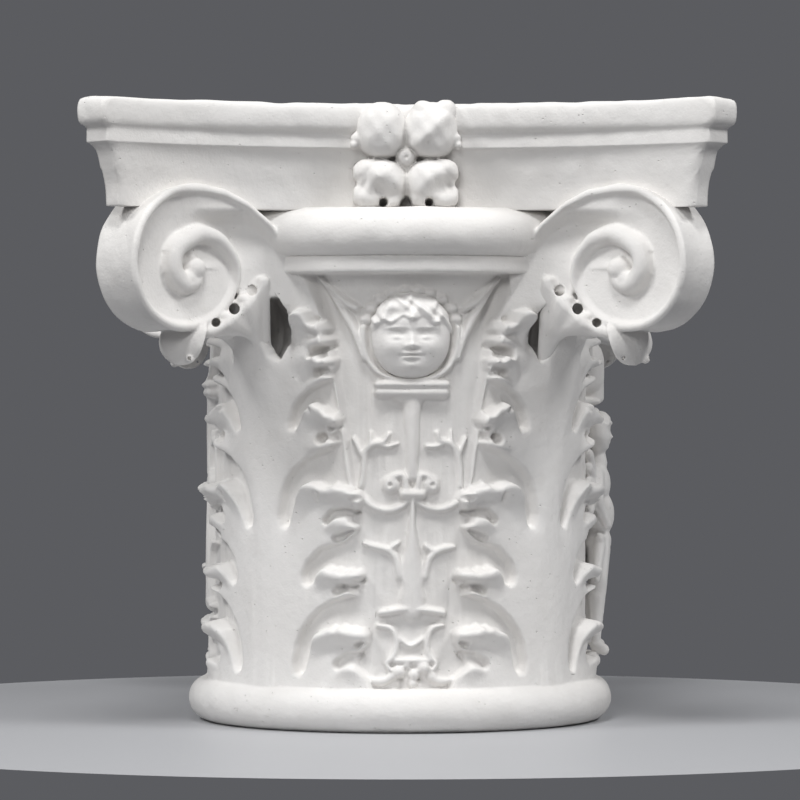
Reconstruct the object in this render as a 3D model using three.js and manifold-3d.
// A capital cast in plaster: a base roll, a drum with a leaf at each corner and a carved panel on each
// face, a lip and a bold round moulding, four corner volutes and a hollow-sided abacus with four flowers.
// Millimetres, +Z up, origin in the middle of the underside, front face towards -Y.
import * as THREE from 'three';
import { mergeVertices } from 'three/addons/utils/BufferGeometryUtils.js';
import Module from 'manifold-3d';

const wasm = await Module();
wasm.setup();

// Heights, from the bottom up
const rollHeight = 33;
const drumHeight = 296;
const lipHeight = 11;
const echinusHeight = 34;
const abacusHeight = 76;

// Radii of the turned body
const rollRadius = 158;
const panelRadius = 138;
const lipRadius = 154;
const echinusRadius = 174;

// The abacus
const abacusHalfWidth = 231;
const sideDepth = 152;
const cornerCut = 18.5;
const flowerPetalRadius = 19;
const flowerButtonRadius = 9;

// The volutes, one on each diagonal
const voluteEyeReach = 229;
const voluteEyeDrop = 43;
const voluteHalfThickness = 17;
const voluteRecess = 4;
const voluteCord = 15;
// Distance from the eye at each quarter turn, from the top outwards and round to the inside
const voluteQuarters = [60, 63, 44, 42, 30, 29, 15];

// The corner leaves
const leafTopGap = 33;
const leafHalfWidth = 58;
const leafTipHalfWidth = 25;
const leafThickness = 10;
const leafRise = 9;
const leafBendRadius = 78;
const leafBend = THREE.MathUtils.degToRad(60);
const leafCurlRadius = 24;
const leafCurl = THREE.MathUtils.degToRad(130);
const lobeThickness = 13;

// The carving on the panels
const reliefDepth = 9;
const borderWidth = 6;
const figureDepth = 17;

// Ripple left by hand finishing, and how close to the beds it stops
const unevenness = 0.15;
const flatEdge = 1;

// The bell and the volutes stand slightly turned under the abacus
const bellTurn = THREE.MathUtils.degToRad(1.6);
const voluteTurn = THREE.MathUtils.degToRad(0.9);

// Fineness of the faceting
const roundSides = 32;
const sideSteps = 6;
const fineWeld = 0.001;
const castWeld = 0.3;

const lipBottom = rollHeight + drumHeight;
const echinusBottom = lipBottom + lipHeight;
const abacusBottom = echinusBottom + echinusHeight;
const totalHeight = abacusBottom + abacusHeight;
const reliefRadius = panelRadius + reliefDepth;
const quarter = Math.PI / 2;
const faceAngles = [-quarter, 0, quarter, Math.PI];

// Carving is drawn in shares of the drum's height, measured from the top of the roll
const share = drumHeight / 100;

// Closed solid from a three.js geometry. Corners closer than the weld are made one, and triangles that
// this flattens, or folds onto their neighbour, are dropped.
function solidOf(geometry, weld = fineWeld) {
  const bare = geometry.index ? geometry.toNonIndexed() : geometry.clone();
  bare.deleteAttribute('normal');
  bare.deleteAttribute('uv');
  const merged = mergeVertices(bare, weld);
  const corners = merged.index.array;
  const kept = new Map();
  for (let i = 0; i < corners.length; i += 3) {
    const [a, b, c] = [corners[i], corners[i + 1], corners[i + 2]];
    if (a === b || b === c || c === a) continue;
    const key = [a, b, c].sort((p, q) => p - q).join();
    if (kept.has(key)) kept.delete(key);
    else kept.set(key, [a, b, c]);
  }
  const mesh = new wasm.Mesh({
    numProp: 3,
    vertProperties: new Float32Array(merged.attributes.position.array),
    triVerts: new Uint32Array([...kept.values()].flat()),
  });
  return new wasm.Manifold(mesh);
}

function join(solids) {
  return solids.reduce((whole, next) => whole.add(next));
}

// Moves every vertex of a geometry by a function of its place
function reshape(geometry, place) {
  const at = geometry.attributes.position;
  const point = new THREE.Vector3();
  for (let i = 0; i < at.count; i += 1) {
    point.fromBufferAttribute(at, i);
    const moved = place(point.x, point.y, point.z);
    at.setXYZ(i, moved[0], moved[1], moved[2]);
  }
  return geometry;
}

// The turned body: outline as [radius, height]
function arcPoints(radius, height, size, from, to, steps) {
  const points = [];
  for (let i = 0; i <= steps; i += 1) {
    const turn = THREE.MathUtils.degToRad(from + ((to - from) * i) / steps);
    points.push([radius + size * Math.cos(turn), height + size * Math.sin(turn)]);
  }
  return points;
}

const rollSize = rollHeight / 2;
const bellOutline = [
  [panelRadius + 2, rollHeight],
  [panelRadius, rollHeight + 12 * share],
  [panelRadius, rollHeight + 78 * share],
  [panelRadius + 2, rollHeight + 87 * share],
  [(panelRadius + lipRadius) / 2 - 1, rollHeight + 94 * share],
  [lipRadius - 3, lipBottom - 2],
];

// Radius of the panel ground at a height
function groundRadius(height) {
  const last = bellOutline.length - 1;
  if (height <= bellOutline[0][1]) return bellOutline[0][0];
  for (let i = 0; i < last; i += 1) {
    const [r0, z0] = bellOutline[i];
    const [r1, z1] = bellOutline[i + 1];
    if (height <= z1) return r0 + ((r1 - r0) * (height - z0)) / (z1 - z0);
  }
  return bellOutline[last][0];
}

function turnedBody() {
  const echinusSize = echinusHeight / 2;
  const outline = [
    [0, 0],
    ...arcPoints(rollRadius - rollSize, rollSize, rollSize, -90, 70, 4),
    ...bellOutline,
    [lipRadius, lipBottom],
    [lipRadius, echinusBottom],
    [echinusRadius - echinusSize, echinusBottom + 1],
    ...arcPoints(echinusRadius - echinusSize, echinusBottom + echinusSize, echinusSize, -55, 55, 3),
    [0, abacusBottom + 2],
  ];
  const points = outline.map(([r, z]) => new THREE.Vector2(r, z));
  return solidOf(new THREE.LatheGeometry(points, roundSides).rotateX(quarter));
}

// The abacus: plan outline at a level, stepped in by an inset, and its moulded edge as [height, inset]
function abacusPlan(inset) {
  const half = abacusHalfWidth - inset;
  const cut = cornerCut - 0.46 * inset;
  const depth = sideDepth - inset;
  const reach = half - cut;
  const sag = half - depth;
  const radius = (reach * reach + sag * sag) / (2 * sag);
  const plan = [];
  for (let side = 0; side < 4; side += 1) {
    const turn = side * quarter;
    for (let i = 0; i <= sideSteps; i += 1) {
      const x = -reach + (2 * reach * i) / sideSteps;
      const y = -(depth + radius - Math.sqrt(radius * radius - x * x));
      plan.push([x * Math.cos(turn) - y * Math.sin(turn), x * Math.sin(turn) + y * Math.cos(turn)]);
    }
  }
  return plan;
}

function abacus() {
  const cavettoTop = abacusBottom + 0.58 * abacusHeight;
  const filletTop = abacusBottom + 0.7 * abacusHeight;
  const edge = [
    [abacusBottom, 20],
    [abacusBottom + 0.2 * abacusHeight, 19],
    [abacusBottom + 0.42 * abacusHeight, 15],
    [cavettoTop, 7],
    [filletTop, 7],
    [filletTop + 2, 2],
    [filletTop + 9, 0],
    [totalHeight - 4, 1],
    [totalHeight, 6],
  ];
  const count = 4 * (sideSteps + 1);
  const drum = new THREE.CylinderGeometry(1, 1, edge.length - 1, count, edge.length - 1).rotateX(quarter);
  const plans = edge.map(([, inset]) => abacusPlan(inset));
  return solidOf(reshape(drum, (x, y, z) => {
    const level = Math.round(z + (edge.length - 1) / 2);
    if (Math.hypot(x, y) < 0.5) return [0, 0, edge[level][0]];
    const around = Math.round((Math.atan2(y, x) / (2 * Math.PI)) * count + 2 * count) % count;
    const start = Math.round((5 * count) / 8);
    const [planX, planY] = plans[level][(around - start + count) % count];
    return [planX, planY, edge[level][0]];
  }));
}

// Flower on the middle of each side of the abacus: four fat petals round a button
function flower(side) {
  const middle = totalHeight - 2 * flowerPetalRadius;
  const bevel = flowerPetalRadius * 0.5;
  const outline = new THREE.Shape();
  for (let petal = 0; petal < 4; petal += 1) {
    const towards = (petal + 0.5) * quarter;
    for (const turn of [-0.5, -0.3, 0, 0.3]) {
      const reach = turn === -0.5 ? flowerPetalRadius * 0.8 : flowerPetalRadius * (turn === 0 ? 2 : 1.9) - bevel;
      const angle = towards + turn * quarter;
      outline[petal === 0 && turn === -0.5 ? 'moveTo' : 'lineTo'](reach * Math.cos(angle), reach * Math.sin(angle));
    }
  }
  const settings = { depth: 2 * flowerPetalRadius - bevel, bevelThickness: bevel, bevelSize: bevel, bevelSegments: 1 };
  const petals = new THREE.ExtrudeGeometry(outline, settings).rotateX(quarter);
  petals.translate(0, -(sideDepth - flowerPetalRadius), middle);
  const button = new THREE.SphereGeometry(flowerButtonRadius, 6, 4);
  button.translate(0, -(sideDepth + flowerPetalRadius), middle);
  return join([petals, button].map((piece) => solidOf(piece.rotateZ(side * quarter))));
}

// Distance of the volute's outer edge from its eye, by quarter turns
function voluteRadius(turns) {
  const last = voluteQuarters.length - 1;
  const low = Math.max(0, Math.min(Math.floor(turns), last - 1));
  const part = Math.min(turns, last) - low;
  return voluteQuarters[low] + (voluteQuarters[low + 1] - voluteQuarters[low]) * part;
}

// Upright plate across a diagonal: outline in reach and height, made so thick to both sides
function uprightPlate(shape, halfThickness, holder) {
  const plate = new THREE.ExtrudeGeometry(shape, { depth: 2 * halfThickness, bevelEnabled: false, curveSegments: 16 });
  return solidOf(plate.rotateX(quarter).translate(0, halfThickness, 0).rotateZ(holder));
}

function volute(diagonal) {
  const eyeHeight = abacusBottom - voluteEyeDrop;
  const onSpiral = (turns, inwards) => {
    const angle = quarter - turns * quarter;
    const radius = voluteRadius(turns) - inwards;
    return [voluteEyeReach + radius * Math.cos(angle), eyeHeight + radius * Math.sin(angle)];
  };
  const turnSteps = 3;
  const rimStep = 2;
  const disc = new THREE.Shape();
  disc.moveTo(...onSpiral(-0.3, rimStep));
  for (let i = 0; i <= 3 * turnSteps; i += 1) disc.lineTo(...onSpiral(i / turnSteps, rimStep));
  disc.lineTo(panelRadius + 32, lipBottom - 14 * share);
  disc.lineTo(panelRadius, lipBottom - 28 * share);
  disc.lineTo(panelRadius - 20, lipBottom - 28 * share);
  disc.lineTo(panelRadius - 20, abacusBottom + 1);
  disc.lineTo(voluteEyeReach - voluteQuarters[0] * 0.7, abacusBottom + 1);

  const flare = new THREE.Shape();
  const bellSide = panelRadius - 20;
  const thin = voluteHalfThickness - voluteRecess;
  const reachEnd = voluteEyeReach + voluteQuarters[1] + 5;
  const spread = [[bellSide, 54], [panelRadius + 8, 46], [panelRadius + 30, 33], [voluteEyeReach - 20, thin + 4], [reachEnd, thin]];
  flare.setFromPoints([
    ...spread.map(([reach, half]) => new THREE.Vector2(reach, -half)),
    ...spread.toReversed().map(([reach, half]) => new THREE.Vector2(reach, half)),
  ]);
  const column = new THREE.ExtrudeGeometry(flare, { depth: totalHeight, bevelEnabled: false });
  const body = uprightPlate(disc, 80, diagonal).intersect(solidOf(column.rotateZ(diagonal)));

  const turnsMade = voluteQuarters.length - 1;
  const steps = turnsMade * turnSteps;
  const band = new THREE.Shape();
  band.moveTo(...onSpiral(0, 0));
  for (let i = 1; i <= steps; i += 1) band.lineTo(...onSpiral(i / turnSteps, 0));
  for (let i = steps; i >= 0; i -= 1) {
    const turns = i / turnSteps;
    const cord = Math.min(voluteCord, 5 + 3.3 * turns, voluteRadius(turns) - 2);
    band.lineTo(...onSpiral(turns, cord));
  }
  const cord = uprightPlate(band, voluteHalfThickness, diagonal);

  const eye = new THREE.CylinderGeometry(6, 9, voluteRecess + 2, 6);
  const eyes = [-1, 1].map((face) => {
    const one = eye.clone().rotateZ(face > 0 ? 0 : Math.PI);
    return solidOf(one.translate(voluteEyeReach, face * (thin + voluteRecess / 2), eyeHeight).rotateZ(diagonal));
  });
  return join([body, cord, ...eyes]);
}

// Wraps carving drawn flat onto the drum: x along the wall, -y outwards, z up
function wrap(geometry, angle) {
  return solidOf(reshape(geometry, (x, y, z) => {
    const around = angle + x / reliefRadius;
    const radius = groundRadius(z) - y;
    return [radius * Math.cos(around), radius * Math.sin(around), z];
  }));
}

// Flat carved shape on the wall, standing out from one depth to another
function raised(points, from, thickness) {
  const shape = new THREE.Shape(points.map(([x, z]) => new THREE.Vector2(x, z)));
  const plate = new THREE.ExtrudeGeometry(shape, { depth: thickness, bevelEnabled: false });
  return plate.rotateX(quarter).translate(0, -from, 0);
}

function blob(x, z, halfWidth, halfHeight, out, sides = 5) {
  const ball = new THREE.SphereGeometry(1, sides, sides - 2).rotateX(quarter);
  return ball.scale(halfWidth, out, halfHeight).translate(x, 0, z);
}

// Stem or ribbon along points on the wall
function ribbon(points, halfWidth, steps) {
  const path = new THREE.CatmullRomCurve3(points.map(([x, z]) => new THREE.Vector3(x, 0, z)));
  const section = new THREE.Shape();
  for (let i = 0; i < 4; i += 1) {
    const turn = i * quarter;
    section[i === 0 ? 'moveTo' : 'lineTo'](halfWidth * Math.cos(turn), halfWidth * Math.sin(turn));
  }
  return new THREE.ExtrudeGeometry(section, { steps, bevelEnabled: false, extrudePath: path });
}

// A corner leaf is one sheet: up the drum, out under the volute and over at the tip, with lobed edges.
// Each lobe gives its height, its reach from the leaf's middle and how tall it is.
const lobes = [
  [13, 0.98, 13],
  [27, 0.93, 10],
  [47, 0.9, 12],
  [65, 0.72, 11],
  [84, 0.62, 14],
];
const leafHeight = drumHeight - leafTopGap;

function leaf(diagonal) {
  const curlTop = leafCurlRadius * (1 - Math.cos(quarter - leafBend));
  const straight = leafHeight - leafBendRadius * Math.sin(leafBend) - curlTop;
  const bendLength = leafBendRadius * leafBend;
  const curlLength = leafCurlRadius * leafCurl;
  // Reach, height and lean of the leaf's middle line, by length from the foot
  const middleAt = (run) => {
    const bent = Math.min(Math.max(run - straight, 0), bendLength) / leafBendRadius;
    const lean = bent + Math.max(run - straight - bendLength, 0) / leafCurlRadius;
    const reach = reliefRadius + leafRise / 2 + leafBendRadius * (1 - Math.cos(bent));
    const height = Math.min(run, straight) + leafBendRadius * Math.sin(bent);
    const curlOut = leafCurlRadius * (Math.cos(bent) - Math.cos(lean));
    const curlUp = leafCurlRadius * (Math.sin(lean) - Math.sin(bent));
    return [reach + curlOut, rollHeight + height + curlUp, lean];
  };
  // Rows across the leaf: length along the middle, then height and half width at the edge
  const rows = [[-2, -2, 0.85 * leafHalfWidth]];
  const lobeSteps = [[-0.75, 0.72], [-0.3, 0.94], [0.3, 1]];
  for (const [upShare, reachShare, tallShare] of lobes) {
    for (const [along, part] of lobeSteps) {
      const up = (upShare + along * tallShare) * share;
      const half = leafHalfWidth * (0.72 + (1.45 * reachShare - 0.72) * (part - 0.72) / 0.28);
      rows.push([up, up, half]);
    }
  }
  const top = straight + bendLength;
  const edgeTop = rows[rows.length - 1][1];
  rows.push([top + 0.15 * curlLength, edgeTop + 4, 0.6 * leafHalfWidth]);
  rows.push([top + 0.5 * curlLength, 0, leafTipHalfWidth]);
  rows.push([top + curlLength, 0, leafTipHalfWidth * 0.7]);
  const free = 2;
  const spread = (top - straight) / (edgeTop - straight);
  const count = rows.length - 1;
  const sheet = new THREE.BoxGeometry(4, 1, count, 4, 1, count);
  const steps = [-1, -0.62, 0, 0.62, 1];
  return solidOf(reshape(sheet, (column, side, row) => {
    const index = Math.round(row + count / 2);
    const [run, edgeUp, half] = rows[index];
    const across = steps[Math.round(column + 2)];
    const onWall = index <= count - free;
    const middleRun = onWall && run > straight ? Math.min(straight + (run - straight) * spread, top) : run;
    const [reach, height, lean] = middleAt(middleRun);
    const pull = onWall ? Math.abs(across) ** 1.5 : 0;
    const edgeHeight = rollHeight + edgeUp;
    const edgeReach = Math.max(groundRadius(edgeHeight) + lobeThickness, reliefRadius + lobeThickness / 2);
    const outer = side < 0;
    const fluted = onWall ? leafRise * 0.4 * (1 - Math.cos(across * Math.PI)) : 0;
    const inwards = outer ? fluted : leafThickness;
    const level = (1 - pull) * (height + inwards * Math.sin(lean)) + pull * edgeHeight;
    const shown = (1 - pull) * (reach - inwards * Math.cos(lean)) + pull * edgeReach;
    const radius = onWall && !outer ? groundRadius(level) - 4 : shown;
    const around = diagonal + (across * half) / reach;
    return [radius * Math.cos(around), radius * Math.sin(around), level];
  }));
}

// Thin fillets beside each panel, spreading towards the lip
function panelBorders(angle) {
  const edges = [-1, 1].map((side) => {
    const points = [[69, 98], [60, 88], [50, 72], [44, 55], [38, 46]].map(([x, z]) => [side * x, rollHeight + z * share]);
    return wrap(ribbon(points, borderWidth / 2, 4), angle);
  });
  return join(edges);
}

// The stand that fills the lower half of a panel: stem, bow, branches, plate and vase
function panelStand(angle, rich) {
  const up = (value) => rollHeight + value * share;
  const turned = [
    [0, 14], [22, 17.5], [22, 20], [11, 21.5], [13, 27], [5, 31], [4, 44], [11, 47], [11, 50], [4, 53],
    [9, 67], [18, 70], [0, 70.5],
  ];
  const profile = turned.map(([r, z]) => new THREE.Vector2(r, up(z)));
  const stem = new THREE.LatheGeometry(profile, 6).rotateX(quarter).scale(1, 0.75, 1);
  const tablet = new THREE.BoxGeometry(56, reliefDepth + 4, 3.4 * share, 3, 1, 1).translate(0, -reliefDepth / 2, up(72));
  const parts = [wrap(stem, angle), wrap(tablet, angle)];
  for (const side of [-1, 1]) {
    const at = (points) => points.map(([x, z]) => [side * x, up(z)]);
    parts.push(wrap(ribbon(at([[2, 45], [20, 42.5], [35, 46], [36, 56], [26, 59], [16, 62]]), 3.4, 6), angle));
    parts.push(wrap(blob(side * 13, up(10), 8, 12, reliefDepth + 2), angle));
    if (rich) {
      parts.push(wrap(ribbon(at([[9, 24], [12, 31], [34, 34]]), 3.4, 3), angle));
      parts.push(wrap(blob(side * 15, up(49), 8, 9, reliefDepth), angle));
    }
  }
  parts.push(wrap(blob(0, up(4), 12, 14, reliefDepth + 2), angle));
  return join(parts);
}

// Ring hung from the corners of the lip, with beads over it
function panelRing(angle, rich) {
  const up = (value) => rollHeight + value * share;
  const loop = [[62, 99], [42, 92], [36, 82], [27, 75.5], [0, 73.5], [-27, 75.5], [-36, 82], [-42, 92], [-62, 99]];
  const ring = ribbon(loop.map(([x, z]) => [x, up(z)]), 5, 10);
  const parts = [wrap(ring, angle)];
  const beads = rich ? 2 : 0;
  for (let i = -beads; i <= beads; i += 1) {
    const turn = (i * Math.PI) / 8;
    parts.push(wrap(blob(36 * Math.sin(turn), up(84) + 36 * Math.cos(turn), 6, 5, reliefDepth), angle));
  }
  return join(parts);
}

// Child's head inside the ring, with locks of hair
function childHead(angle) {
  const up = (value) => rollHeight + value * share;
  const parts = [
    blob(0, up(82.5), 21, 25, figureDepth, 8),
    blob(0, up(80.8), 3.5, 5, figureDepth + 3),
    blob(0, up(76), 6, 5, figureDepth - 2),
  ];
  for (let i = -2; i <= 2; i += 1) {
    const turn = i * 0.7;
    parts.push(blob(24 * Math.sin(turn), up(84) + 22 * Math.cos(turn), 11, 9, figureDepth - 3));
  }
  return join(parts.map((part) => wrap(part, angle)));
}

// Winged child standing on the drum's side with a vessel on its head
function standingChild(angle) {
  const up = (value) => rollHeight + value * share;
  const pieces = [
    [0, 62, 13, 17, figureDepth + 2],
    [0, 50, 13, 16, figureDepth],
    [0, 37, 14, 24, figureDepth],
    [-8, 18, 8, 34, figureDepth - 2],
    [8, 18, 8, 34, figureDepth - 2],
    [-17, 46, 6, 18, figureDepth - 3],
    [17, 46, 6, 18, figureDepth - 3],
    [-30, 52, 12, 22, reliefDepth],
    [30, 52, 12, 22, reliefDepth],
  ];
  const body = pieces.map(([x, z, halfWidth, halfHeight, out]) => wrap(blob(x, up(z), halfWidth, halfHeight, out), angle));
  const outline = [[0, 66], [12, 67], [10, 71], [22, 76], [22, 80], [0, 80.5]];
  const vessel = new THREE.LatheGeometry(outline.map(([r, z]) => new THREE.Vector2(r, up(z))), 7);
  return join([...body, wrap(vessel.rotateX(quarter), angle)]);
}

// Everything cast together as one piece
const faces = faceAngles.map((angle) => angle + bellTurn);
const diagonals = faceAngles.map((angle) => angle + quarter / 2);
const cast = join([
  turnedBody(),
  abacus(),
  ...[0, 1, 2, 3].map(flower),
  ...diagonals.map((diagonal) => volute(diagonal + voluteTurn)),
  ...diagonals.map((diagonal) => leaf(diagonal + bellTurn)),
  ...faces.map(panelBorders),
  ...[0, 2, 3].map((side) => panelStand(faces[side], side === 0)),
  ...[0, 2, 3].map((side) => panelRing(faces[side], side === 0)),
  childHead(faces[0]),
  ...[2, 3].map((side) => wrap(blob(0, rollHeight + 82 * share, 20, 20, figureDepth - 4, 8), faces[side])),
  standingChild(faces[1]),
]);

// Back to a geometry
function geometryOf(solid) {
  const { vertProperties, triVerts } = solid.getMesh();
  const geometry = new THREE.BufferGeometry();
  geometry.setAttribute('position', new THREE.BufferAttribute(vertProperties, 3));
  geometry.setIndex(new THREE.BufferAttribute(triVerts, 1));
  return geometry;
}

// Hand-finished plaster is never quite even. The two beds stay flat.
function uneven(x, y, z) {
  if (z < flatEdge || z > totalHeight - flatEdge) return [x, y, z];
  const ripple = unevenness * Math.sin(1.1 * x + 0.7 * z) * Math.cos(1.3 * y - 0.5 * z);
  return [x * (1 + ripple / panelRadius), y * (1 + ripple / panelRadius), z + ripple];
}

const surface = reshape(geometryOf(solidOf(geometryOf(cast), castWeld)), uneven);
surface.computeVertexNormals();

const plaster = new THREE.MeshStandardMaterial({ color: 0xe4e2df, roughness: 0.85, metalness: 0 });
const capital = new THREE.Mesh(surface, plaster);
capital.name = 'capital';

const part = new THREE.Group();
part.add(capital);

export default part;
